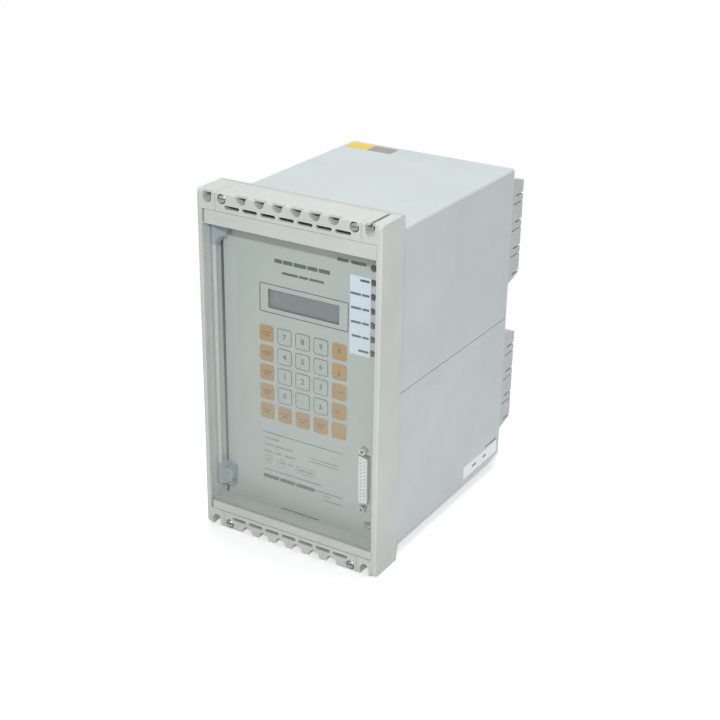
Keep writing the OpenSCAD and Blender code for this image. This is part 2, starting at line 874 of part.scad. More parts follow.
module terminal_block()
    difference() {
        union() {
            along_x([-term_w / 2, term_w / 2]) block_side();
            block([-neck_w / 2, neck_w / 2], [socket_y, body_d + 1], [-neck_h / 2, neck_h / 2]);
        }
        for (z = section_z) {
            both_x() {
                translate([clamp_x, 0, z]) rod_y(pocket_d, [term_back_y - pocket_depth, term_back_y + cut]);
                translate([(term_w - wire_room) / 2, 0, z])
                    block([-wire_w / 2, wire_w / 2], [term_back_y - wire_depth, term_back_y + cut],
                        [-wire_h / 2, wire_h / 2]);
            }
            side_cut(3, term_back_y - wire_depth, z - 0.21 * term_pitch, 1.6);
        }
        for (z = groove_z) side_cut(1.5, body_d + 3, z, 1);
    }

module terminal_block_upper_left() color(frame_grey) translate([-term_x, 0, term_upper_z]) terminal_block();

module terminal_block_upper_right() color(frame_grey) translate([term_x, 0, term_upper_z]) terminal_block();

module terminal_block_lower_left() color(frame_grey) translate([-term_x, 0, -term_lower_z]) terminal_block();

module terminal_block_lower_right() color(frame_grey) translate([term_x, 0, -term_lower_z]) terminal_block();

module at_clamps()
    at_blocks()
        for (z = section_z, x = [-clamp_x, clamp_x])
            translate([x, term_back_y - pocket_depth, z]) children();

module terminal_clamps() color(bright_steel)
    at_clamps()
        difference() {
            rod_y(pocket_d - 2 * fit, [0, clamp_t]);
            rod_y(3.2, [-cut, clamp_t + cut]);
        }

module terminal_screws() color([0.75, 0.72, 0.62])
    at_clamps()
        translate([0, clamp_t, 0])
            mirror([0, 1, 0]) slotted_screw(term_screw_d - 0.4, 2.6, 3, clamp_t);

// Sockets behind the blocks, and the plugs on the boards that go into them
module at_contacts()
    for (i = [0 : 2 * term_n - 1], x = [-contact_x, contact_x])
        translate([x, 0, (i - term_n + 0.5) * term_pitch / 2]) children();

module rear_sockets() color(part_black)
    at_blocks()
        difference() {
            block([-plug_w / 2, plug_w / 2], [mate_y, socket_y], [-neck_h / 2, neck_h / 2]);
            at_contacts() rod_y(contact_d + 0.4, [mate_y - cut, socket_y - 1]);
        }

module rear_plugs() color([0.20, 0.20, 0.21])
    at_blocks() {
        difference() {
            block([-plug_w / 2, plug_w / 2], [plug_y, mate_y], [-neck_h / 2, neck_h / 2]);
            block([-board_slot, board_slot], [plug_y - cut, board_back_y + fit],
                [-neck_h / 2 - cut, neck_h / 2 + cut]);
        }
        at_contacts() rod_y(contact_d, [mate_y - 0.5, mate_y + contact_l]);
    }

// Guide rails for the three plug-in boards
module guide_rail()
    difference() {
        block([-guide_w / 2, guide_w / 2], [guide_front_y, board_back_y - 12],
            [board_h / 2 - guide_groove, shell_z]);
        block([-board_slot, board_slot], [guide_front_y - cut, board_back_y], [0, board_h / 2 + fit]);
    }

module three_guides() for (x = [-board_x, 0, board_x]) translate([x, 0, 0]) guide_rail();

module upper_guides() color(part_black) three_guides();

module lower_guides() color(part_black) mirror([0, 0, 1]) three_guides();

// Front plate with its openings, and the foil, display, lamps and labels on it
module led_places()
    for (i = [0 : led_n - 1])
        translate([led_x, 0, led_z + (i - (led_n - 1) / 2) * led_pitch]) children();

module dsub_outline(grow)
    hull()
        for (z = [-1, 1], s = [-1, 1])
            translate([s * (dsub_w / 2 - 2.4),
                z * (dsub_l / 2 - 2.4 - (s + 1) / 2 * (dsub_w - 4.8) * tan(dsub_taper))])
                circle(2.4 + grow, $fn = 32);

module lcd_field(grow)
    translate([lcd_x, lcd_z]) square([lcd_w + 2 * grow, lcd_h + 2 * grow], center = true);

module panel_openings(y, rim)
    along_y(y) {
        lcd_field(rim);
        translate([dsub_x, dsub_z]) square([dsub_w + 1, dsub_l + 1], center = true);
        translate([port_x, port_z]) square([port_w, port_h], center = true);
    }

module jack_places()
    for (s = [-1, 1])
        translate([dsub_x, 0, dsub_z + s * dsub_screw_gap / 2]) children();

module front_plate() color(bright_steel)
    difference() {
        block([plate_left_x, plate_x], [plate_front_y, -shoulder_t], [-plate_z, plate_z]);
        panel_openings([plate_front_y - cut, -shoulder_t + cut], lcd_rim);
        led_places() rod_y(led_hole_d, [plate_front_y - cut, -shoulder_t + cut]);
        jack_places() rod_y(3.3, [plate_front_y - cut, -shoulder_t + cut]);
    }

module key_places()
    for (i = [0 : key_n - 1], j = [0 : key_n - 1])
        translate([keypad_x, keypad_z] + key_pitch * [i - (key_n - 1) / 2, j - (key_n - 1) / 2])
            children();

module keypad_foil() color(panel_grey)
    difference() {
        union() {
            block([foil_left_x, foil_right_x], [foil_front_y, plate_front_y], [-foil_z, foil_z]);
            along_y([foil_front_y - key_rise, foil_front_y + 0.1])
                key_places() round_rect(key_w, key_h, key_r);
        }
        panel_openings([foil_front_y - cut, plate_front_y + cut], 0);
        led_places() rod_y(led_hole_d, [foil_front_y - cut, plate_front_y + cut]);
        jack_places() rod_y(6.4, [foil_front_y - cut, plate_front_y + cut]);
    }

module label_strip() color("white")
    along_y([foil_front_y - 0.3, foil_front_y])
        translate([label_x, label_z]) square([label_w, label_h], center = true);

module lcd_window() color([0.85, 0.90, 0.90, 0.35])
    along_y([plate_front_y, plate_front_y + lcd_sheet_t]) lcd_field(lcd_rim - fit);

module lcd_bezel() color(part_black)
    difference() {
        along_y([plate_front_y + lcd_sheet_t, operator_y]) lcd_field(lcd_rim - fit);
        along_y([plate_front_y + lcd_sheet_t - cut, operator_y - 2]) lcd_field(0);
    }

module lcd_glass() color([0.60, 0.64, 0.58])
    along_y([plate_front_y + lcd_sheet_t + 0.8, operator_y - 2]) lcd_field(-fit);

module status_leds() color([0.35, 0.12, 0.10])
    led_places() {
        translate([0, foil_front_y + led_d / 2 - 0.6, 0]) sphere(d = led_d);
        rod_y(led_d, [foil_front_y + led_d / 2 - 0.6, -shoulder_t + 2]);
        for (s = [-1, 1]) translate([0, 0, s * 0.9]) rod_y(0.6, [-shoulder_t + 1.9, operator_y]);
    }

module led_holder() color(part_black)
    difference() {
        w = led_d / 2 + 1.5;
        h = (led_n - 1) * led_pitch / 2 + led_d;
        block([led_x - w, led_x + w], [-shoulder_t, operator_y], [led_z - h, led_z + h]);
        led_places() rod_y(led_d + 2 * fit, [-shoulder_t - cut, operator_y + cut]);
    }

// Interface socket
module dsub_shell() color(bright_steel)
    translate([dsub_x, 0, dsub_z])
        difference() {
            union() {
                along_y([-shoulder_t, -shoulder_t + dsub_flange_t])
                    round_rect(dsub_flange_w, dsub_flange_l, 1.5);
                along_y([foil_front_y - dsub_rise, -shoulder_t + 0.5]) dsub_outline(0);
            }
            along_y([foil_front_y - dsub_rise - cut, -shoulder_t + dsub_flange_t + cut]) dsub_outline(-0.5);
            for (s = [-1, 1])
                translate([0, 0, s * dsub_screw_gap / 2])
                    rod_y(3.1, [-shoulder_t - cut, -shoulder_t + dsub_flange_t + cut]);
        }

module dsub_holes()
    for (row = [0, 1], i = [0 : 12 - row])
        translate([(row - 0.5) * dsub_row_gap, 0, (i - (12 - row) / 2) * dsub_pin_pitch])
            rod_y(dsub_hole_d, [foil_front_y - dsub_rise - cut, -shoulder_t]);

module dsub_insulator() color([0.90, 0.91, 0.89])
    translate([dsub_x, 0, dsub_z])
        difference() {
            along_y([foil_front_y - dsub_rise + 0.4, operator_y]) dsub_outline(-0.6);
            dsub_holes();
        }

module dsub_jack_screws() color(bright_steel)
    jack_places()
        difference() {
            union() {
                rotate([0, 90, 0]) rotate([-90, 0, 0])
                    translate([0, 0, plate_front_y - jack_l]) cylinder(d = jack_d, h = jack_l, $fn = 6);
                rod_y(3, [plate_front_y - 0.5, -shoulder_t + dsub_flange_t + 2]);
            }
            rod_y(jack_bore_d, [plate_front_y - jack_l - cut, plate_front_y - 1]);
        }

// Release bail: two levers on vertical pins, joined by a rod
module lever_plan() {
    reach = norm([bail_rod_x - bail_pin_x, bail_rod_y - bail_pin_y]);
    turn = atan2(bail_rod_y - bail_pin_y, bail_rod_x - bail_pin_x);
    translate([bail_pin_x, bail_pin_y]) {
        circle(d = lever_hub_d);
        rotate(turn) translate([0, -lever_arm_w / 2]) square([reach, lever_arm_w]);
    }
    translate([bail_rod_x, bail_rod_y]) circle(d = lever_arm_w);
}

// A lever seen from the front: chamfered at its free end, and tapered along the rod
module lever_front() {
    right = bail_pin_x + lever_hub_d / 2;
    left = bail_rod_x - lever_arm_w;
    neck = bail_rod_x + lever_arm_w / 2;
    polygon([[left, lever_z[1]], [right - lever_chamfer, lever_z[1]], [right, lever_z[1] - lever_chamfer],
        [right, lever_z[0] + lever_chamfer], [right - lever_chamfer, lever_z[0]], [neck + 1, lever_z[0]],
        [neck - 0.8, lever_z[0] - lever_taper], [left, lever_z[0] - lever_taper]]);
}

module lever()
    intersection() {
        along_z([lever_z[0] - lever_taper, lever_z[1]]) lever_plan();
        along_y([bail_rod_y - lever_arm_w, plate_front_y]) lever_front();
    }

module at_bail() translate([0, 0, bail_up]) both_z() children();

module at_bail_pins() at_bail() translate([bail_pin_x, bail_pin_y, 0]) children();

module release_bail() color(lever_blue)
    difference() {
        union() {
            at_bail() lever();
            translate([bail_rod_x, bail_rod_y, bail_up]) rod_z(bail_rod_d, [-bail_z, bail_z]);
        }
        at_bail_pins() rod_z(bail_pin_d + 2 * pin_play, [lever_z[0] - cut, lever_z[1] + cut]);
    }

module bail_bracket() {
    hub_x = [bail_pin_x - lever_hub_d / 2, bail_pin_x + lever_hub_d / 2];
    block(hub_x, [plate_front_y - bail_bracket_t, plate_front_y], [lever_z[0], ear_z[1]]);
    block(hub_x, [bail_pin_y, plate_front_y], ear_z);
    translate([bail_pin_x, bail_pin_y, 0]) rod_z(lever_hub_d, ear_z);
}

module bail_brackets() color(lever_blue)
    difference() {
        at_bail() bail_bracket();
        at_bail_pins() rod_z(bail_pin_d + 2 * snug, [ear_z[0] - cut, ear_z[1] + cut]);
    }

module bail_pins() color(bright_steel) at_bail_pins() rod_z(bail_pin_d, [lever_z[0], ear_z[1]]);

// Operator board behind the front plate
module at_spacers() both_x() both_z() translate([spacer_x, 0, spacer_z]) children();

module operator_board() color(board_green)
    difference() {
        along_y([operator_y, operator_y + board_t]) square([2 * operator_x, 2 * operator_z], center = true);
        at_spacers() rod_y(3.2, [operator_y - cut, operator_y + board_t + cut]);
    }

module board_spacers() color(bright_steel)
    at_spacers() {
        rod_y(spacer_d, [-shoulder_t, operator_y]);
        rod_y(3, [operator_y - 0.5, operator_y + board_t + 3]);
    }

module spacer_nuts() color([0.75, 0.72, 0.62])
    at_spacers()
        difference() {
            rotate([-90, 0, 0]) translate([0, 0, operator_y + board_t]) cylinder(d = nut_d, h = nut_h, $fn = 6);
            rod_y(3.1, [operator_y, operator_y + board_t + nut_h + cut]);
        }

// Angle brackets that hold the three plug-in boards to the front plate
module board_bracket() {
    face = board_t / 2;
    block([face, face + bracket_t], [-shoulder_t, board_front_y + bracket_reach], bracket_z);
    block([face, face + bracket_foot], [-shoulder_t, -shoulder_t + bracket_t], bracket_z);
}

module board_brackets() color(bright_steel)
    both_z() {
        for (x = [-board_x, 0]) translate([x, 0, 0]) board_bracket();
        translate([board_x, 0, 0]) mirror([1, 0, 0]) board_bracket();
    }

module board_header() color(part_black)
    difference() {
        block([-header_w / 2, header_w / 2], [operator_y + board_t, board_front_y + header_depth],
            [-header_l / 2, header_l / 2]);
        block([-board_slot, board_slot], [board_front_y - fit, board_front_y + header_depth + cut],
            [-header_l / 2 - cut, header_l / 2 + cut]);
    }

// Plug-in boards and what stands on them
module plug_board()
    block([-board_t / 2, board_t / 2], [board_front_y, board_back_y], [-board_h / 2, board_h / 2]);

module processor_board() color(board_green) plug_board();

module input_output_board() color(board_green) translate([board_x, 0, 0]) plug_board();

module supply_board() color(board_green) translate([-board_x, 0, 0]) plug_board();

module chip(y, z, w, h)
    block([board_t / 2, board_t / 2 + chip_h], [y - w / 2, y + w / 2], [z - h / 2, z + h / 2]);

module processor_chips() color(part_black) {
    chip(chip_row_y, 0, chip_w, chip_w);
    for (i = [-1, 1]) chip(chip_row_y, i * 1.6 * chip_w, 0.65 * chip_w, 1.3 * chip_w);
    for (i = [-1 : 2]) chip(battery_row_y, i * 1.15 * chip_w, 0.35 * chip_w, 0.7 * chip_w);
}

module backup_battery() color(bright_steel)
    translate([board_t / 2, battery_row_y, battery_z]) rotate([0, 90, 0]) {
        cylinder(d = battery_d, h = battery_d / 8);
        cylinder(d = battery_d * 0.85, h = battery_d / 4.5);
    }

module output_relays() color([0.16, 0.20, 0.34])
    for (i = [0 : 5])
        translate([board_x - board_t / 2, relay_row_y, (i - 2.5) * relay_pitch])
            block([-relay_h, 0], [-relay_l / 2, relay_l / 2], [-relay_w / 2, relay_w / 2]);

// A core with its winding: the two windows go through above and below the winding
module current_transformer() {
    winding_y = 0.8 * core_t;
    winding_z = 0.24 * core_w;
    window_z = [winding_z + 1, 0.34 * core_w];
    difference() {
        union() {
            block([-core_h, 0], [-core_t / 2, core_t / 2], [-core_w / 2, core_w / 2]);
            block([-0.9 * core_h, -0.1 * core_h], [-winding_y, winding_y], [-winding_z, winding_z]);
        }
        both_z()
            block([-0.77 * core_h, -0.23 * core_h], [-core_t / 2 - cut, core_t / 2 + cut], window_z);
    }
}

module current_transformers() color([0.30, 0.28, 0.26])
    for (i = [0 : 3])
        translate([board_x - board_t / 2, core_row_y, (i - 1.5) * core_pitch]) current_transformer();

module supply_transformer() color([0.32, 0.29, 0.24])
    translate([-board_x + board_t / 2, chip_row_y, 1.25 * supply_w]) {
        block([0, supply_h], [-0.27 * supply_w, 0.27 * supply_w], [-supply_w / 2, supply_w / 2]);
        block([0.12 * supply_h, 0.88 * supply_h], [-0.44 * supply_w, 0.44 * supply_w],
            [-supply_w / 4, supply_w / 4]);
    }

module supply_capacitors() color([0.14, 0.17, 0.26])
    for (i = [-0.5, 0.5], j = [1, 2])
        translate([-board_x + board_t / 2, chip_row_y + i * 1.4 * capacitor_d, -j * 1.4 * capacitor_d])
            rod_x(capacitor_d, [0, capacitor_h]);

module heat_sink() color([0.42, 0.43, 0.45])
    translate([-board_x + board_t / 2, sink_row_y, 0]) {
        fin_gap = sink_w * 0.45;
        y = [-sink_w / 2, sink_w / 2];
        block([0, 3], y, [-3.2 * fin_gap, 3.2 * fin_gap]);
        for (i = [-3 : 3]) block([2.5, fin_h], y, [i * fin_gap - 0.8, i * fin_gap + 0.8]);
    }

frame_uprights();
frame_rails();
frame_shoulder();
corner_blocks();
top_strip();
bottom_strip();
strip_screws();
cover_top_bar();
cover_bottom_bar();
cover_pane();
cover_catch();
cover_pins();
upper_shell();
lower_shell();
shell_screws();
back_plate();
back_plate_screws();
terminal_block_upper_left();
terminal_block_upper_right();
terminal_block_lower_left();
terminal_block_lower_right();
terminal_clamps();
terminal_screws();
earth_screw();
earth_washer();
rear_sockets();
upper_guides();
lower_guides();
front_plate();
keypad_foil();
label_strip();
lcd_window();
lcd_bezel();
lcd_glass();
status_leds();
led_holder();
dsub_shell();
dsub_insulator();
dsub_jack_screws();
release_bail();
bail_brackets();
bail_pins();
operator_board();
board_spacers();
spacer_nuts();
board_brackets();
board_header();
processor_board();
processor_chips();
backup_battery();
input_output_board();
output_relays();
current_transformers();
supply_board();
supply_transformer();
supply_capacitors();
heat_sink();
rear_plugs();
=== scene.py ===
import math

import bpy
from mathutils import Matrix, Vector


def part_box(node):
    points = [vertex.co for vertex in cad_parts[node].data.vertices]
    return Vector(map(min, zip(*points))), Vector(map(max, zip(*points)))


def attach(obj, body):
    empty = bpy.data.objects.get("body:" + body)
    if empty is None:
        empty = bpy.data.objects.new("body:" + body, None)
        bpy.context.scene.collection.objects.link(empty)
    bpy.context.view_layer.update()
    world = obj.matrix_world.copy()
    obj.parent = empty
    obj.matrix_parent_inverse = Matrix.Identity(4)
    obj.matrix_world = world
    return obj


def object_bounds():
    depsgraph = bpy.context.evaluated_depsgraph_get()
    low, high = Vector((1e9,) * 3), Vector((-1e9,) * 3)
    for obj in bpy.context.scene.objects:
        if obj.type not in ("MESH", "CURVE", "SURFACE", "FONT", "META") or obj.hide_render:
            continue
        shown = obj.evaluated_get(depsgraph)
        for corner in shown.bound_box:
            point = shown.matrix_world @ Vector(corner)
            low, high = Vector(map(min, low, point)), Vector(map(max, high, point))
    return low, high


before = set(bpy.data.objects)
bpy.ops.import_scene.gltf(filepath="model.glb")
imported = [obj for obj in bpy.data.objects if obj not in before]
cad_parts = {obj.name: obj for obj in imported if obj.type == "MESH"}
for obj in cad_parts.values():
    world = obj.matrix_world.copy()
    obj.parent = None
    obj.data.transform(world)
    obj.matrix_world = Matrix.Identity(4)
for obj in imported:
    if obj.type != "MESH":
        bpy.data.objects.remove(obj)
cad_low, cad_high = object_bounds()

MM = 0.001
# Thickness of the print
INK_LIFT = 0.06 * MM
# Gap between the front plate and the left upright
PLATE_GAP = 2.4 * MM


# Shader maths: sockets that take part in Python expressions


class Signal:
    """A socket of a node tree, with arithmetic."""

    def __init__(self, finish, socket):
        self.finish = finish
        self.socket = socket

    def calc(self, operation, first, second=0.0):
        return self.finish.node("ShaderNodeMath", {"operation": operation}, {0: first, 1: second})

    def __add__(self, other):
        return self.calc("ADD", self, other)

    def __radd__(self, other):
        return self.calc("ADD", other, self)

    def __sub__(self, other):
        return self.calc("SUBTRACT", self, other)

    def __rsub__(self, other):
        return self.calc("SUBTRACT", other, self)

    def __mul__(self, other):
        return self.calc("MULTIPLY", self, other)

    def __rmul__(self, other):
        return self.calc("MULTIPLY", other, self)

    def __truediv__(self, other):
        return self.calc("DIVIDE", self, other)

    def __pow__(self, other):
        return self.calc("POWER", self, other)

    def __lt__(self, other):
        return self.calc("LESS_THAN", self, other)

    def __gt__(self, other):
        return self.calc("GREATER_THAN", self, other)

    def __abs__(self):
        return self.calc("ABSOLUTE", self)

    def larger(self, other):
        return self.calc("MAXIMUM", self, other)

    def part_of(self, length):
        """How far along a repeat of that length, from 0 to 1."""
        return self.calc("FRACT", self / length)


class Finish:
    """A material built node by node around one shader, or the studio's background in the same way."""

    def __init__(self, name, kind=bpy.data.materials, end="ShaderNodeOutputMaterial"):
        self.material = kind.new(name)
        self.material.use_nodes = True
        self.end = end
        self.tree = self.material.node_tree
        self.tree.nodes.clear()
        self.place = self.node("ShaderNodeTexCoord", out="Object")

    def node(self, kind, settings=None, inputs=None, out=0):
        made = self.tree.nodes.new(kind)
        for key, value in (settings or {}).items():
            setattr(made, key, value)
        for key, value in (inputs or {}).items():
            if isinstance(value, Signal):
                self.tree.links.new(value.socket, made.inputs[key])
            else:
                made.inputs[key].default_value = value
        return Signal(self, made.outputs[out])

    def axes(self):
        return [self.node("ShaderNodeSeparateXYZ", None, {0: self.place}, out) for out in (0, 1, 2)]

    def noise(self, scale, detail=2.0, roughness=0.5):
        return self.node("ShaderNodeTexNoise", None, {
            "Vector": self.place, "Scale": scale, "Detail": detail, "Roughness": roughness})

    def mix(self, share, first, second):
        return self.node("ShaderNodeMix", {"data_type": "RGBA"}, {0: share, 6: first, 7: second}, 2)

    def ramp(self, share, low, high):
        """0 below low, 1 above high."""
        return self.node("ShaderNodeMapRange", {"clamp": True}, {0: share, 1: low, 2: high})

    def bump(self, height, strength, distance):
        return self.node("ShaderNodeBump", None, {
            "Height": height, "Strength": strength, "Distance": distance})

    def surface(self, inputs):
        self.node_output(self.node("ShaderNodeBsdfPrincipled", None, inputs))
        return self.material

    def node_output(self, shader):
        end = self.tree.nodes.new(self.end)
        self.tree.links.new(shader.socket, end.inputs["Surface"])

    def seen(self):
        """1 where a picture shows it, straight or in metal and glass, and 0 where it only gives light."""
        rays = [self.node("ShaderNodeLightPath", out=name)
                for name in ("Is Camera Ray", "Is Glossy Ray", "Is Transmission Ray")]
        return rays[0].larger(rays[1]).larger(rays[2])


def tone(code, shade=1.0):
    """A colour as seen on screen, as a shader takes it."""
    parts = [int(code[i:i + 2], 16) / 255 for i in (0, 2, 4)]
    linear = [c / 12.92 if c <= 0.04045 else ((c + 0.055) / 1.055) ** 2.4 for c in parts]
    return tuple(shade * c for c in linear) + (1.0,)


# Finishes

# Dark tone of the painted shade on the frame
PAINTED_SHADE_TONE = "3c4240"
WORN_PRINT = "b4bcb8"
LEVER_BLUE = "8b979d"


def moulded_plastic(name, code, rough=0.5, grain=0.05, painted_shade=None):
    """Moulded plastic: fine spark-eroded grain, faint handling marks, painted shade where a mask is
    given.
    """
    f = Finish(name)
    cloud = f.noise(scale=26, detail=3)
    marks = f.ramp(f.noise(scale=190, detail=5, roughness=0.65), low=0.62, high=0.78)
    base = f.mix(f.ramp(cloud, low=0.3, high=0.7), tone(code), tone(code, shade=0.93))
    worn = f.mix(marks * 0.25, base, tone(code, shade=0.80))
    grain_height = f.noise(scale=2600) + 0.5 * f.noise(scale=900)
    return f.surface({
        # Where a mask is given, painted shade darkens the colour towards the dark tone
        "Base Color": f.mix(painted_shade(f), worn, tone(PAINTED_SHADE_TONE)) if painted_shade else worn,
        "Roughness": rough + 0.12 * (cloud - 0.5) + 0.08 * marks,
        "Normal": f.bump(grain_height, grain, 0.2 * MM),
        "Specular IOR Level": 0.4,
    })


def frame_painted_shade(f):
    """Painted shade down in the gap beside the front plate, and a painted shadow line along the frame's
    upper rear edge.
    """
    wall_reach, soft_start, edge_depth = 0.6 * MM, 0.4 * MM, 0.4 * MM
    rear_start, rear_full = -3.8 * MM, -3.0 * MM
    x, y, z = f.axes()
    plate, plate_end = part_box("front_plate")
    frame_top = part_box("frame_uprights")[1].z
    beside = (abs(x - plate.x + PLATE_GAP) < wall_reach) * (abs(z) < plate_end.z)
    gap = beside * f.ramp(y, plate.y - soft_start, plate.y + soft_start)
    rear = (z > frame_top - edge_depth) * f.ramp(y, rear_start, rear_full)
    return (gap * 0.9).larger(rear * 0.2)


def painted_sheet(name, code, rough=0.42):
    """Stove-enamelled sheet: soft orange peel, dust and faint scuffs."""
    f = Finish(name)
    dust = f.noise(scale=14, detail=4, roughness=0.6)
    scuff = f.ramp(f.noise(scale=75, detail=6, roughness=0.7), low=0.66, high=0.80)
    base = f.mix(f.ramp(dust, low=0.32, high=0.68), tone(code), tone(code, shade=0.94))
    return f.surface({
        "Base Color": f.mix(scuff * 0.35, base, tone(code, shade=0.84)),
        "Roughness": rough + 0.16 * (dust - 0.5) + 0.10 * scuff,
        "Normal": f.bump(f.noise(scale=420), 0.06, 0.4 * MM),
        "Specular IOR Level": 0.45,
    })


def front_foil(name, code):
    """Polyester front foil with a fine matt texture."""
    f = Finish(name)
    cloud = f.noise(scale=18, detail=3)
    fleck = f.noise(scale=5200, detail=1)
    base = f.mix(f.ramp(cloud, low=0.3, high=0.7), tone(code), tone(code, shade=0.95))
    return f.surface({
        "Base Color": f.mix(f.ramp(fleck, low=0.55, high=0.75) * 0.12, base, tone(code, shade=1.15)),
        "Roughness": 0.50 + 0.10 * (fleck - 0.5),
        "Normal": f.bump(fleck, 0.04, 0.1 * MM),
    })


def plated_metal(name, code, rough=0.32, metallic=1.0):
    """Plated or brushed metal with drawn lines and dull patches."""
    across, along = 900, 160
    f = Finish(name)
    x, y, z = f.axes()
    drawn = f.node("ShaderNodeCombineXYZ", None, {0: x * across, 1: y * across, 2: z * along})
    streak = f.node("ShaderNodeTexNoise", None, {"Vector": drawn, "Scale": 1.0, "Detail": 3.0})
    dull = f.noise(scale=240, detail=4)
    patches = f.ramp(dull, low=0.45, high=0.75)
    return f.surface({
        "Base Color": f.mix(patches * 0.5, tone(code), tone(code, shade=0.72)),
        "Metallic": metallic,
        "Roughness": rough + 0.18 * (streak - 0.5) + 0.12 * f.ramp(dull, low=0.5, high=0.8),
        "Normal": f.bump(streak, 0.05, 0.1 * MM),
    })


def print_ink(name, code, fade):
    """Screen print on foil or label, a little uneven in cover."""
    f = Finish(name)
    cover = f.noise(scale=2400, detail=3, roughness=0.6)
    return f.surface({
        "Base Color": f.mix(f.ramp(cover, low=0.35, high=0.75) * fade, tone(code), tone(WORN_PRINT)),
        "Roughness": 0.55 + 0.10 * (cover - 0.5),
    })


def key_colour(name, code):
    """Coloured key field printed under the foil."""
    f = Finish(name)
    cover = f.noise(scale=160, detail=4)
    fleck = f.noise(scale=4200, detail=1)
    thin = f.ramp(cover, low=0.35, high=0.70)
    return f.surface({
        "Base Color": f.mix(thin * 0.6, tone(code), tone(code, shade=0.88)),
        "Roughness": 0.48 + 0.10 * (fleck - 0.5),
        "Normal": f.bump(fleck, 0.04, 0.1 * MM),
    })


def label_paper(name, code):
    """Blank paper or film label."""
    f = Finish(name)
    fibre = f.noise(scale=1300, detail=5, roughness=0.7)
    stain = f.ramp(f.noise(scale=60, detail=3), low=0.4, high=0.8)
    return f.surface({
        "Base Color": f.mix(stain * 0.5, tone(code), tone(code, shade=0.92)),
        "Roughness": 0.58 + 0.10 * (fibre - 0.5),
        "Normal": f.bump(fibre, 0.05, 0.1 * MM),
    })


def clear_cover(name, low, high):
    """Clear acrylic: faint smears, a painted sheen of reflected light below the middle, cut edges with a
    slight tint.
    """
    edge_width = 0.6 * MM
    f = Finish(name)
    smear = f.ramp(f.noise(scale=30, detail=5, roughness=0.6), low=0.45, high=0.80)
    x, _, z = f.axes()
    right_edge = f.ramp(x, high.x - edge_width, high.x)
    edge = right_edge.larger(1 - f.ramp(x, low.x, low.x + edge_width))
    height = high.z - low.z
    # Painted sheen of reflected light, in the lower part of the pane
    painted_sheen = (f.ramp(z, low.z + 0.01 * height, low.z + 0.20 * height)
            * (1 - f.ramp(z, low.z + 0.32 * height, low.z + 0.92 * height)))
    return f.surface({
        "Base Color": f.mix(edge, tone("dfe6e4"), tone("c6d2ce")),
        "Roughness": 0.05 + 0.10 * smear,
        "Alpha": 0.03 + 0.02 * smear + 0.12 * edge + 0.10 * painted_sheen,
    })


def display_face(name, pitch_x, pitch_z):
    """Reflective liquid-crystal display with rows of faint character cells, each made of dots."""
    dot_x, dot_z = pitch_x / 6, pitch_z / 9
    f = Finish(name)
    x, _, z = f.axes()
    cell = (abs(x.part_of(pitch_x) - 0.5) < 0.40) * (abs(z.part_of(pitch_z) - 0.5) < 0.42)
    dots = (abs(x.part_of(dot_x) - 0.5) < 0.38) * (abs(z.part_of(dot_z) - 0.5) < 0.38)
    cloud = f.noise(scale=60, detail=3)
    base = f.mix(f.ramp(cloud, low=0.3, high=0.7), tone("576567"), tone("505e60"))
    return f.surface({
        "Base Color": f.mix(cell * dots * 0.22, base, tone("454f51")),
        "Roughness": 0.22 + 0.08 * cloud,
        "Specular IOR Level": 0.5,
    })


def bail_plastic(name, middle, reach):
    """Blue-grey levers, with a paler rod between them, up to that reach from the middle."""
    change = 0.5 * MM
    f = Finish(name)
    z = f.axes()[2]
    rod = 1 - f.ramp(abs(z - middle), reach, reach + change)
    cloud = f.noise(scale=40, detail=3)
    uneven = f.ramp(cloud, low=0.3, high=0.7)
    lever = f.mix(uneven, tone(LEVER_BLUE), tone("818d94"))
    bar = f.mix(uneven, tone("b2b9b7"), tone("a9b1b0"))
    return f.surface({
        "Base Color": f.mix(rod, lever, bar),
        "Roughness": 0.42 + 0.12 * (cloud - 0.5),
        "Normal": f.bump(f.noise(scale=2200), 0.04, 0.2 * MM),
    })


def board_laminate(name):
    """Solder resist with copper tracks showing through."""
    track_pitch, track_wander = 2.6 * MM, 4 * MM
    f = Finish(name)
    y = f.axes()[1]
    wander = f.noise(scale=160)
    line = abs((y + track_wander * wander).part_of(track_pitch) - 0.5) < 0.18
    track = line * (f.noise(scale=48, detail=1) > 0.52)
    return f.surface({
        "Base Color": f.mix(track, tone("1f5a3a"), tone("35794f")),
        "Roughness": 0.34 + 0.10 * wander,
        "Normal": f.bump(track, 0.1, 0.1 * MM),
    })


# How far a lever of the bail reaches along the rod
LEVER_REACH = 18 * MM
bail_low, bail_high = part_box("release_bail")
bail_middle, bail_half = (bail_low.z + bail_high.z) / 2, (bail_high.z - bail_low.z) / 2

# The frame's finish paints shade into the gap beside the front plate and along the frame's upper rear
# edge
frame_grey = moulded_plastic("frame_grey", "c0c5c2", painted_shade=frame_painted_shade)
bar_grey = moulded_plastic("cover_bar_grey", "bfc4c1", rough=0.44)
shell_grey = painted_sheet("shell_grey", "bac3c4")
terminal_grey = moulded_plastic("terminal_grey", "b5bbba")
panel_foil = front_foil("panel_foil", "a8b2ad")
plate_paint = painted_sheet("front_plate_paint", "aeb8b4", rough=0.5)
zinc = plated_metal("zinc_plate", "c2c4c3")
screw_steel = plated_metal("screw_steel", "a8aaa9", rough=0.26)
clamp_steel = plated_metal("clamp_steel", "b5b2a6", rough=0.38)
brass = plated_metal("earth_brass", "c9ae6d", rough=0.34)
anodised = plated_metal("anodised_black", "3a3c3f", rough=0.45, metallic=0.6)
core_iron = plated_metal("core_iron", "55504a", rough=0.5, metallic=0.5)
black_plastic = moulded_plastic("black_plastic", "2a2b2d")
relay_case = moulded_plastic("relay_case", "2c3657", rough=0.4)
sleeve = moulded_plastic("capacitor_sleeve", "262e46", rough=0.3)
socket_white = moulded_plastic("socket_white", "e4e8e6", rough=0.45)
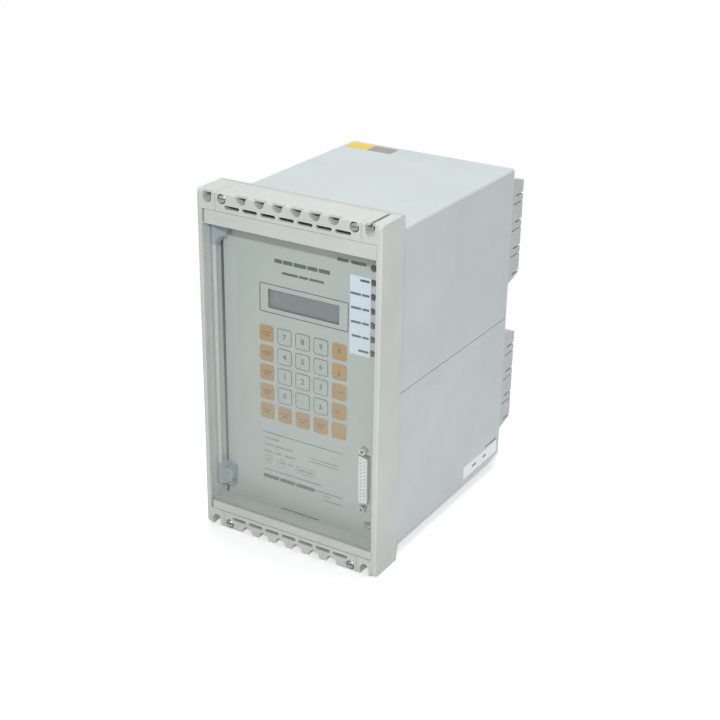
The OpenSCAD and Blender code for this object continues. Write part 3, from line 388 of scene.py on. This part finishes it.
lamp_lens = moulded_plastic("lamp_lens", "33302f", rough=0.2, grain=0.01)
label_white = label_paper("label_white", "c9d8e3")
sticker_white = label_paper("sticker_white", "e9edeb")
patch_yellow = label_paper("patch_yellow", "d8b63c")
patch_grey = label_paper("patch_grey", "8d8a80")
key_orange = key_colour("key_orange", "a57e36")
key_plain = key_colour("key_plain", "a6b0ab")
ink = print_ink("print_ink", "3a413f", fade=0.18)
pale_ink = print_ink("pale_print_ink", "747d7a", fade=0.3)
pane_clear = clear_cover("pane_clear", *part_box("cover_pane"))
display = display_face("display_face", pitch_x=3.4 * MM, pitch_z=6.4 * MM)
bail_grey = bail_plastic("bail_grey", bail_middle, bail_half - LEVER_REACH)
bracket_grey = moulded_plastic("bracket_grey", LEVER_BLUE, rough=0.42)
laminate = board_laminate("board_laminate")

FINISHES = {
    frame_grey: ["frame_uprights", "frame_rails", "frame_shoulder", "corner_blocks", "top_strip",
                 "bottom_strip"],
    bar_grey: ["cover_top_bar", "cover_bottom_bar", "cover_catch"],
    pane_clear: ["cover_pane", "lcd_window"],
    shell_grey: ["upper_shell", "lower_shell", "back_plate"],
    terminal_grey: ["terminal_block_upper_left", "terminal_block_upper_right",
                    "terminal_block_lower_left", "terminal_block_lower_right"],
    clamp_steel: ["terminal_clamps", "terminal_screws"],
    screw_steel: ["strip_screws"],
    zinc: ["cover_pins", "shell_screws", "back_plate_screws", "earth_washer", "dsub_shell",
           "dsub_jack_screws", "bail_pins", "board_spacers", "spacer_nuts", "board_brackets",
           "backup_battery"],
    brass: ["earth_screw"],
    plate_paint: ["front_plate"],
    panel_foil: ["keypad_foil"],
    label_white: ["label_strip"],
    display: ["lcd_glass"],
    lamp_lens: ["status_leds"],
    socket_white: ["dsub_insulator"],
    bail_grey: ["release_bail"],
    bracket_grey: ["bail_brackets"],
    # The display bezel takes this black to paint the shade on the walls of the display's recess
    black_plastic: ["rear_sockets", "rear_plugs", "upper_guides", "lower_guides", "led_holder",
                    "lcd_bezel", "board_header", "processor_chips"],
    laminate: ["operator_board", "processor_board", "input_output_board", "supply_board"],
    relay_case: ["output_relays"],
    core_iron: ["current_transformers", "supply_transformer"],
    sleeve: ["supply_capacitors"],
    anodised: ["heat_sink"],
}
for finish, names in FINISHES.items():
    for node in names:
        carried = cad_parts[node]
        carried.data.materials.clear()
        carried.data.materials.append(finish)


# Modelling helpers

QUARTER = math.pi / 2
FACING = {"front": (QUARTER, 0, 0), "right": (QUARTER, 0, QUARTER), "top": (0, 0, 0)}
UNSTRETCHED = (1, 1, 1)


def clear_selection():
    bpy.ops.object.select_all(action="DESELECT")


def flat_shape(name, width, height, facing, corner=0.0, line=0.0):
    """A rounded plate at the origin, or only its outline where a line width is given."""
    clear_selection()
    bpy.ops.mesh.primitive_plane_add(size=1)
    shape = bpy.context.object
    shape.name = name
    shape.scale = (width, height, 1)
    bpy.ops.object.transform_apply(location=False, rotation=False, scale=True)
    bpy.ops.object.mode_set(mode="EDIT")
    bpy.ops.mesh.select_all(action="SELECT")
    if corner:
        bpy.ops.mesh.bevel(affect="VERTICES", offset=corner, segments=5)
    if line:
        bpy.ops.mesh.select_all(action="SELECT")
        bpy.ops.mesh.inset(thickness=line)
        bpy.ops.mesh.delete(type="FACE")
    bpy.ops.object.mode_set(mode="OBJECT")
    shape.rotation_euler = FACING[facing]
    bpy.ops.object.transform_apply(location=False, rotation=True, scale=False)
    return shape


def thicken(shape, thickness):
    """Gives a flat shape its thickness, outwards from the surface that it lies on."""
    clear_selection()
    shape.select_set(True)
    bpy.context.view_layer.objects.active = shape
    bpy.ops.object.modifier_add(type="SOLIDIFY")
    solid = shape.modifiers[-1]
    solid.thickness, solid.offset = thickness, 1
    bpy.ops.object.modifier_apply(modifier=solid.name)
    return shape


def joined(parts, name):
    clear_selection()
    for part in parts:
        part.select_set(True)
    bpy.context.view_layer.objects.active = parts[0]
    if len(parts) > 1:
        bpy.ops.object.join()
    piece = bpy.context.view_layer.objects.active
    piece.name = name
    return piece


def moved_copies(master, name, moves):
    """Copies of a shape, each moved by its own matrix, joined into one piece."""
    copies = []
    for move in moves:
        copy = master.copy()
        copy.data = master.data.copy()
        copy.data.transform(move)
        bpy.context.scene.collection.objects.link(copy)
        copies.append(copy)
    bpy.data.objects.remove(master)
    return joined(copies, name)


def placed(centre, stretch=UNSTRETCHED):
    return Matrix.Translation(centre) @ Matrix.Diagonal((*stretch, 1))


def lettering(text, size, centre):
    """Text facing the front, as a mesh."""
    stroke_more = 0.10 * MM
    clear_selection()
    bpy.ops.object.text_add()
    letter = bpy.context.object
    letter.data.body = text
    letter.data.size = size
    letter.data.align_x, letter.data.align_y = "CENTER", "CENTER"
    letter.data.extrude = INK_LIFT / 2
    letter.data.offset = stroke_more
    letter.data.resolution_u = 3
    bpy.ops.object.convert(target="MESH")
    letter = bpy.context.object
    letter.rotation_euler = FACING["front"]
    letter.location = centre
    bpy.ops.object.transform_apply(location=True, rotation=True, scale=True)
    return letter


def dress(piece, finish, body):
    piece.data.materials.clear()
    piece.data.materials.append(finish)
    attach(piece, body)


def front_print(name, size, corner, line, centres, finish, thickness=INK_LIFT):
    """One flat shape repeated on the front: a field, or an outline where a line width is given."""
    shape = thicken(flat_shape("pattern", *size, "front", corner, line), thickness)
    dress(moved_copies(shape, name, [placed(c) for c in centres]), finish, "housing")


# Print and key fields on the front foil

# How far a key stands above the foil round it
KEY_RISE = 0.4 * MM
KEY_TOP_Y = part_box("keypad_foil")[0].y
FOIL_Y = KEY_TOP_Y + KEY_RISE
KEY_PITCH = 15.5 * MM
KEY_CENTRE = Vector((-0.3 * MM, 0, -4 * MM))
KEY_FIELD = (12.2 * MM, 12.4 * MM)
KEY_CORNER = 2 * MM
KEY_LINE = 0.5 * MM
KEYS_ACROSS = 5
ARROW_COLUMN = 4


def key_centre(column, row):
    return KEY_CENTRE + Vector(((column - 2) * KEY_PITCH, KEY_TOP_Y, (2 - row) * KEY_PITCH))


def is_plain(column, row):
    return 1 <= column <= 3 and row <= 3


ALL_KEYS = [(column, row) for row in range(KEYS_ACROSS) for column in range(KEYS_ACROSS)]
PLAIN_KEYS = [key for key in ALL_KEYS if is_plain(*key)]
ORANGE_KEYS = [key for key in ALL_KEYS if not is_plain(*key)]
plain_centres = [key_centre(*key) for key in PLAIN_KEYS]
orange_centres = [key_centre(*key) for key in ORANGE_KEYS]

front_print("orange_key_fields", KEY_FIELD, KEY_CORNER, 0, orange_centres, key_orange)
front_print("plain_key_fields", KEY_FIELD, KEY_CORNER, 0, plain_centres, key_plain,
            thickness=INK_LIFT / 2)
front_print("plain_key_outlines", KEY_FIELD, KEY_CORNER, KEY_LINE, plain_centres, ink)

LEGENDS = ["789", "456", "123", "0.±"]
LEGEND_SIZE = 6 * MM
legend_lift = Vector((0, -INK_LIFT / 2, 0))
digits = [lettering(LEGENDS[row][column - 1], LEGEND_SIZE, key_centre(column, row) + legend_lift)
          for column, row in PLAIN_KEYS]
dress(joined(digits, "key_digits"), ink, "housing")

ARROW_TURNS = [0, 180, 90, 270]
ARROW_STEM = (0.7, 3.0, 1)
ARROW_HEAD = 1.5 * MM
ARROW_HEAD_UP = 2.0 * MM


def arrow_mark():
    """A short arrow that points up: a stem with a head."""
    clear_selection()
    bpy.ops.mesh.primitive_plane_add(size=1 * MM)
    stem = bpy.context.object
    bpy.ops.object.mode_set(mode="EDIT")
    bpy.ops.mesh.select_all(action="SELECT")
    bpy.ops.transform.resize(value=ARROW_STEM)
    bpy.ops.object.mode_set(mode="OBJECT")
    clear_selection()
    bpy.ops.mesh.primitive_circle_add(vertices=3, radius=ARROW_HEAD, fill_type="NGON",
                                      location=(0, ARROW_HEAD_UP, 0))
    head = bpy.context.object
    bpy.ops.object.transform_apply(location=True)
    arrow = joined([stem, head], "arrow")
    arrow.rotation_euler = FACING["front"]
    bpy.ops.object.transform_apply(rotation=True)
    return thicken(arrow, INK_LIFT)


arrow_lift = Vector((0, -INK_LIFT, 0))
arrow_moves = [placed(key_centre(ARROW_COLUMN, row) + arrow_lift)
               @ Matrix.Rotation(math.radians(turn), 4, "Y")
               for row, turn in enumerate(ARROW_TURNS)]
dress(moved_copies(arrow_mark(), "key_arrows", arrow_moves), ink, "housing")

# Space between two bars, in millimetres
WORD_GAP = 0.9
BAR_CORNER = 0.12 * MM


def bars(name, rows, y, finish):
    """Print that can't be read: rows of short bars.

    A row is (left x, z, height, word lengths) in millimetres, and a negative length is a space.
    """
    bar = thicken(flat_shape("bar", 1 * MM, 1 * MM, "front", BAR_CORNER), INK_LIFT)
    moves = []
    for left, z, height, words in rows:
        for length in words:
            if length > 0:
                centre = Vector(((left + length / 2) * MM, y, z * MM))
                moves.append(placed(centre, (length, 1, height)))
            left += abs(length) + WORD_GAP
    dress(moved_copies(bar, name, moves), finish, "housing")


# Two lines on a key: left and up from its centre, and the word lengths, in millimetres
KEY_WORDS = [(-3.6, 1.0, (3.1, 3.1)), (-2.4, -1.2, (4.6,))]
KEY_WORD_HEIGHT = 1.1
key_rows = [(key_centre(column, row).x / MM + left, key_centre(column, row).z / MM + up,
             KEY_WORD_HEIGHT, words)
            for column, row in ORANGE_KEYS if column != ARROW_COLUMN
            for left, up, words in KEY_WORDS]
bars("key_word_bars", key_rows, KEY_TOP_Y - INK_LIFT, ink)

TITLE_ROWS = [
    (-24, 84, 3.0, (6.5, 8, 10.5, 8.5, 9.2)),
    (-17.6, 75.8, 1.9, (13.4, 7.6, 12.2)),
    (28, 95.6, 2.3, (9, -0.5, 12)),
]
SPEC_ROWS = [
    (-34.1, -57.7, 1.6, (2.6, 1.6, 6.6)),
    (-34.1, -63.0, 1.6, (2.6, 3.2, -0.2, 9.5, 6)),
    (-34.1, -68.8, 1.6, (2.6, 3.2, -0.6, 5, -1.5, 9.5)),
    (-32.8, -75.4, 1.6, (3.4, -6.8, 3.4, -1.6, 2, 2.1)),
    (-4.4, -76.7, 2.0, (4.8, 2.2, 3.6)),
    (4.8, -64.1, 1.0, (9, 15.6)),
    (4.8, -66.6, 1.0, (14, 10.6)),
    (-34.5, -84.1, 1.4, (7, 6, 11, 8, 5.5, 8.2)),
    (17.2, -92.1, 1.0, (6.9,)),
    (17.2, -95.8, 1.2, (7, 9)),
]
BOLD_ROWS = [
    (-35.8, -89.9, 3.1, (14, 13.6, 16.2)),
    (-36, -53, 0.6, (70.1,)),
    (10, -89.5, 0.6, (24,)),
]
EDGE_ROWS = [(-20, -114.4, 0.9, (9, 12, 10.4))]
bars("title_bars", TITLE_ROWS, FOIL_Y, ink)
bars("spec_bars", SPEC_ROWS, FOIL_Y, pale_ink)
bars("bold_bars", BOLD_ROWS, FOIL_Y, ink)
bars("edge_bars", EDGE_ROWS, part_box("front_plate")[0].y, ink)


def on_foil(x, z):
    """A place on the foil's face, from millimetres."""
    return Vector((x * MM, FOIL_Y, z * MM))


# Outlines: size, corner and line width
front_print("seal_outlines", (6.4 * MM, 7.2 * MM), 2.0 * MM, 0.55 * MM,
            [on_foil(-31.1, -75.4), on_foil(-20.0, -76.1)], pale_ink)
front_print("spec_box_outline", (16.1 * MM, 5.8 * MM), 0.8 * MM, 0.5 * MM,
            [on_foil(1.75, -76.7)], pale_ink)
front_print("display_outline", (74.9 * MM, 22.3 * MM), 1.2 * MM, 0.75 * MM,
            [on_foil(0.25, 54.4)], ink)

# The status lamps, with a line of print on the label for each but the first, in millimetres
LAMP_TOP_Z = 94.4
LAMP_PITCH = 10.4
LAMP_COUNT = 7
LABEL_RIGHT_X = 54.2
LABEL_WORD_HEIGHT = 1.7
LABEL_WORDS = [(7.4,), (8.4, 5.8), (8.2, 5.4), (8.2, 5.4), (7.6, 5.2), (8.2,)]
lamp_z = [LAMP_TOP_Z - LAMP_PITCH * index for index in range(LAMP_COUNT)]
label_rows = [(LABEL_RIGHT_X - sum(words) - WORD_GAP * (len(words) - 1), z, LABEL_WORD_HEIGHT, words)
              for words, z in zip(LABEL_WORDS, lamp_z[1:])]
bars("label_bars", label_rows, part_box("label_strip")[0].y, ink)

lamps_low, lamps_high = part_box("status_leds")
lamp_x = (lamps_low.x + lamps_high.x) / 2 / MM
front_print("lamp_rings", (5.0 * MM, 5.0 * MM), 2.45 * MM, 0.75 * MM,
            [on_foil(lamp_x, z) for z in lamp_z], lamp_lens)


# Blank stickers and patches on the housing

STICKER_THICK = 0.12 * MM
STICKER_CORNER = 0.6 * MM
shell_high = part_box("upper_shell")[1]
right_x, top_z = shell_high.x / MM, shell_high.z / MM
mark_x = right_x + STICKER_THICK / MM
# Name, width, height, facing, centre in millimetres, finish
STICKERS = [
    ("side_sticker", 58, 10.5, "right", (right_x, 139, -112.2), sticker_white),
    ("side_mark_0", 6.5, 2.0, "right", (mark_x, 128, -112.0), pale_ink),
    ("side_mark_1", 5.0, 2.0, "right", (mark_x, 146, -112.0), pale_ink),
    ("top_patch_yellow", 19.8, 14, "top", (-57.6, 161, top_z), patch_yellow),
    ("top_patch_grey", 21, 14, "top", (-37.2, 161, top_z), patch_grey),
]
for name, width, height, facing, centre, finish in STICKERS:
    flat = flat_shape(name, width * MM, height * MM, facing, STICKER_CORNER)
    piece = thicken(flat, STICKER_THICK)
    piece.data.transform(Matrix.Translation(Vector(centre) * MM))
    dress(piece, finish, "housing")


# Round boss at the hinge end of the cover's top bar, far enough in to clear the upright

BOSS_RADIUS = 1.5 * MM
BOSS_DEPTH = 1.2 * MM
BOSS_PROUD = 0.2 * MM
BOSS_IN = 3.15 * MM
BOSS_DOWN = 2.2 * MM


def hinge_boss(name, radius, depth, centre):
    """A low round boss with rounded rims, facing the front."""
    clear_selection()
    bpy.ops.mesh.primitive_cylinder_add(vertices=40, radius=radius, depth=depth)
    boss = bpy.context.object
    boss.name = name
    bpy.ops.object.mode_set(mode="EDIT")
    bpy.ops.mesh.select_all(action="DESELECT")
    bpy.ops.mesh.edges_select_sharp(sharpness=math.radians(60))
    bpy.ops.mesh.bevel(offset=0.3 * depth, segments=3)
    bpy.ops.object.mode_set(mode="OBJECT")
    boss.rotation_euler = FACING["front"]
    bpy.ops.object.transform_apply(location=False, rotation=True, scale=False)
    boss.data.transform(Matrix.Translation(centre))
    return boss


bar_low, bar_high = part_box("cover_top_bar")
boss_centre = Vector((bar_low.x + BOSS_IN, bar_low.y + BOSS_DEPTH / 2 - BOSS_PROUD,
                      bar_high.z - BOSS_DOWN))
dress(hinge_boss("hinge_boss", BOSS_RADIUS, BOSS_DEPTH, boss_centre), bar_grey, "cover")


# Camera

VIEW_AZIMUTH = math.radians(31.057)
VIEW_ELEVATION = math.radians(24.023)
VIEW_ROLL = math.radians(0.872)
VIEW_TARGET = Vector((-0.624, 70.0, -16.51)) * MM
VIEW_DISTANCE = 1.077911
FOCAL_PIXELS = 1406.402
PICTURE_PIXELS = 720
SENSOR_WIDTH = 36

back = Vector((math.sin(VIEW_AZIMUTH) * math.cos(VIEW_ELEVATION),
               -math.cos(VIEW_AZIMUTH) * math.cos(VIEW_ELEVATION), math.sin(VIEW_ELEVATION)))
level_right = Vector((math.cos(VIEW_AZIMUTH), math.sin(VIEW_AZIMUTH), 0))
level_up = back.cross(level_right)
right = level_right * math.cos(VIEW_ROLL) + level_up * math.sin(VIEW_ROLL)
up = back.cross(right)
eye = VIEW_TARGET + back * VIEW_DISTANCE
clear_selection()
bpy.ops.object.camera_add()
camera = bpy.context.object
camera.matrix_world = Matrix(((right.x, up.x, back.x, eye.x), (right.y, up.y, back.y, eye.y),
                              (right.z, up.z, back.z, eye.z), (0, 0, 0, 1)))
camera.data.sensor_width = SENSOR_WIDTH
camera.data.lens = SENSOR_WIDTH * FOCAL_PIXELS / PICTURE_PIXELS
bpy.context.scene.camera = camera


# Floor, lamps and background

WHITE = (1, 1, 1, 1)
FLOOR_GREY = (0.86, 0.86, 0.86, 1)
FLOOR_LIFT = 0.30
FLOOR_SIZE = 14
FLOOR_BELOW = 0.2 * MM
SHADOW_CENTRE_Y = 0.08
SHADOW_FULL, SHADOW_GONE = 0.16, 0.42


def floor_finish():
    """White floor that keeps the shadow close to the object and is plain white further out."""
    f = Finish("floor_white")
    x, y, _ = f.axes()
    away_y = y - SHADOW_CENTRE_Y
    far = f.ramp((x * x + away_y * away_y) ** 0.5, SHADOW_FULL, SHADOW_GONE)
    seen = f.seen()
    matt = f.node("ShaderNodeBsdfDiffuse", None, {"Color": FLOOR_GREY})
    lift = f.node("ShaderNodeEmission", None, {"Color": WHITE, "Strength": FLOOR_LIFT * seen})
    near = f.node("ShaderNodeAddShader", None, {0: matt, 1: lift})
    white = f.node("ShaderNodeEmission", None, {"Color": WHITE, "Strength": 1.0})
    f.node_output(f.node("ShaderNodeMixShader", None, {0: far * seen, 1: near, 2: white}))
    return f.material


clear_selection()
bpy.ops.mesh.primitive_plane_add(size=FLOOR_SIZE, location=(0, 0, cad_low.z - FLOOR_BELOW))
floor = bpy.context.object
floor.name = "floor"
floor.data.materials.append(floor_finish())

AIM = Vector((0, 0.06, 0))
# Name, place and width in metres, power in watts
LAMPS = [
    ("lamp_above", (0.0, 0.35, 1.5), 1.0, 15),
    ("lamp_front", (0.70, -1.25, 0.94), 0.08, 18.5),
    ("lamp_right", (1.5, -0.1, 0.2), 1.2, 1.6),
    ("lamp_back", (0.1, 1.9, 0.15), 0.6, 5),
]
for name, place, width, power in LAMPS:
    clear_selection()
    bpy.ops.object.light_add(type="AREA", location=place)
    lamp = bpy.context.object
    lamp.name = name
    lamp.data.shape = "DISK"
    lamp.data.size = width
    lamp.data.energy = power
    lamp.rotation_euler = (AIM - Vector(place)).to_track_quat("-Z", "Y").to_euler()

SKY_LIGHT = 0.28
studio = Finish("studio", bpy.data.worlds, "ShaderNodeOutputWorld")
studio.node_output(studio.node("ShaderNodeBackground", None, {
    "Color": WHITE, "Strength": SKY_LIGHT + (1 - SKY_LIGHT) * studio.seen()}))
bpy.context.scene.world = studio.material
bpy.context.scene.view_settings.view_transform = "Standard"
